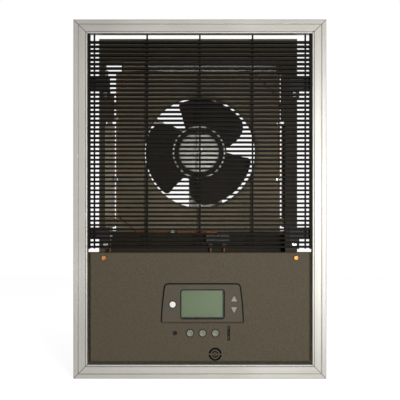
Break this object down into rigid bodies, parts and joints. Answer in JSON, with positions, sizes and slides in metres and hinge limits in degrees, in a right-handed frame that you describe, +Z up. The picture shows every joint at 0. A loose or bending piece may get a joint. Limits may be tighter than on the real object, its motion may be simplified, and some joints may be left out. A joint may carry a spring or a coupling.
{
  "type": "electric wall heater",
  "caption": "Recessed fan-forced electric wall heater: mitred metal trim, bar grille over a fan deck, lower access panel with a digital thermostat.",
  "frame": {"origin": "centre of the four fixing screws, on the wall face that the brackets and trim bear on", "axes": "+X to the right seen from the room, +Y into the wall, +Z up"},
  "size_m": [0.362, 0.1, 0.514],
  "materials": {
    "aluminium": "satin anodised extrusion",
    "zinc_steel": "zinc plated sheet and screws",
    "black_paint": "satin black enamel",
    "bronze_paint": "fine textured bronze enamel",
    "copper_screw": "copper coloured plated screw",
    "bronze_plastic": "fine textured bronze moulding",
    "dark_plastic": "black moulding",
    "black_rubber": "soft black gasket",
    "lcd_glass": "clear acrylic window",
    "lcd_green": "unlit reflective display",
    "circuit_board": "solder mask",
    "white_plastic": "smooth white moulding",
    "grey_plastic": "grey brown moulding",
    "dark_paint": "dark bronze enamel",
    "deck_paint": "bronze enamel",
    "blade_paint": "dark enamel on pressed steel",
    "bright_aluminium": "bright pressed aluminium",
    "cast_aluminium": "die casting",
    "core_steel": "stacked laminations",
    "copper_wire": "enamelled winding",
    "bronze_bearing": "sintered bronze",
    "element_sheath": "dull steel sheath and fins",
    "copper_tube": "drawn copper",
    "brass_screw": "brass terminal screw",
    "relay_plastic": "smooth moulding",
    "orange_lead": "silicone insulated lead"
  },
  "bodies": {
    "root": {"access_panel": "bronze_paint", "capillary_clips": "zinc_steel", "chassis_hood": "dark_paint", "chassis_screws": "zinc_steel", "chassis_side_left": "dark_paint", "chassis_side_right": "dark_paint", "corner_key_screws": "zinc_steel", "corner_keys": "zinc_steel", "element_clips": "zinc_steel", "element_left": "element_sheath", "element_right": "element_sheath", "fan_deck": "deck_paint", "fan_screws": "zinc_steel", "fixing_screws": "zinc_steel", "grille_bars": "black_paint", "grille_side_left": "black_paint", "grille_side_right": "black_paint", "grille_supports": "black_paint", "key_switches": "dark_plastic", "lcd_gasket": "black_rubber", "lcd_lens": "lcd_glass", "lcd_module": "lcd_green", "lead_wires": "orange_lead", "limit_capillary": "copper_tube", "limit_switch": "dark_plastic", "motor_bearings": "bronze_bearing", "motor_front_bell": "cast_aluminium", "motor_rear_bell": "cast_aluminium", "motor_strap": "zinc_steel", "mounting_brackets": "dark_paint", "panel_posts": "zinc_steel", "panel_screws": "copper_screw", "power_relay": "relay_plastic", "room_sensor": "dark_plastic", "stator_core": "core_steel", "stator_windings": "copper_wire", "terminal_block": "dark_plastic", "terminal_screws": "brass_screw", "thermostat_bezel": "bronze_plastic", "thermostat_board": "circuit_board", "thermostat_case": "dark_plastic", "top_baffle": "zinc_steel", "trim_bottom": "aluminium", "trim_left": "aluminium", "trim_right": "aluminium", "trim_top": "aluminium", "wiring_tray": "dark_paint"},
    "fan": {"fan_blades": "blade_paint", "fan_hub": "bright_aluminium", "hub_nut": "zinc_steel", "motor_rotor": "core_steel", "motor_shaft": "zinc_steel"},
    "range_lever": {"range_lever": "dark_plastic"},
    "mode_button": {"mode_button": "white_plastic"},
    "up_button": {"up_button": "grey_plastic"},
    "down_button": {"down_button": "grey_plastic"},
    "program_button_left": {"program_button_left": "grey_plastic"},
    "program_button_middle": {"program_button_middle": "grey_plastic"},
    "program_button_right": {"program_button_right": "grey_plastic"},
    "reset_button": {"reset_button": "dark_plastic"}
  },
  "joints": [
    {"name": "fan_spin", "type": "hinge", "parent": "root", "child": "fan", "pos_m": [-0.0015, 0.034, 0.0106], "axis": [0, 1, 0], "continuous": true},
    {"name": "range_slide", "type": "slide", "parent": "root", "child": "range_lever", "axis": [0, 0, 1], "range_m": [-0.007, 0.007]},
    {"name": "mode_button_press", "type": "slide", "parent": "root", "child": "mode_button", "axis": [0, 1, 0], "range_m": [0, 0.001], "stiffness_N_per_m": 400},
    {"name": "up_button_press", "type": "slide", "parent": "root", "child": "up_button", "axis": [0, 1, 0], "range_m": [0, 0.001], "stiffness_N_per_m": 400},
    {"name": "down_button_press", "type": "slide", "parent": "root", "child": "down_button", "axis": [0, 1, 0], "range_m": [0, 0.001], "stiffness_N_per_m": 400},
    {"name": "program_button_left_press", "type": "slide", "parent": "root", "child": "program_button_left", "axis": [0, 1, 0], "range_m": [0, 0.001], "stiffness_N_per_m": 400},
    {"name": "program_button_middle_press", "type": "slide", "parent": "root", "child": "program_button_middle", "axis": [0, 1, 0], "range_m": [0, 0.001], "stiffness_N_per_m": 400},
    {"name": "program_button_right_press", "type": "slide", "parent": "root", "child": "program_button_right", "axis": [0, 1, 0], "range_m": [0, 0.001], "stiffness_N_per_m": 400},
    {"name": "reset_button_press", "type": "slide", "parent": "root", "child": "reset_button", "axis": [0, 1, 0], "range_m": [0, 0.001], "stiffness_N_per_m": 400}
  ]
}
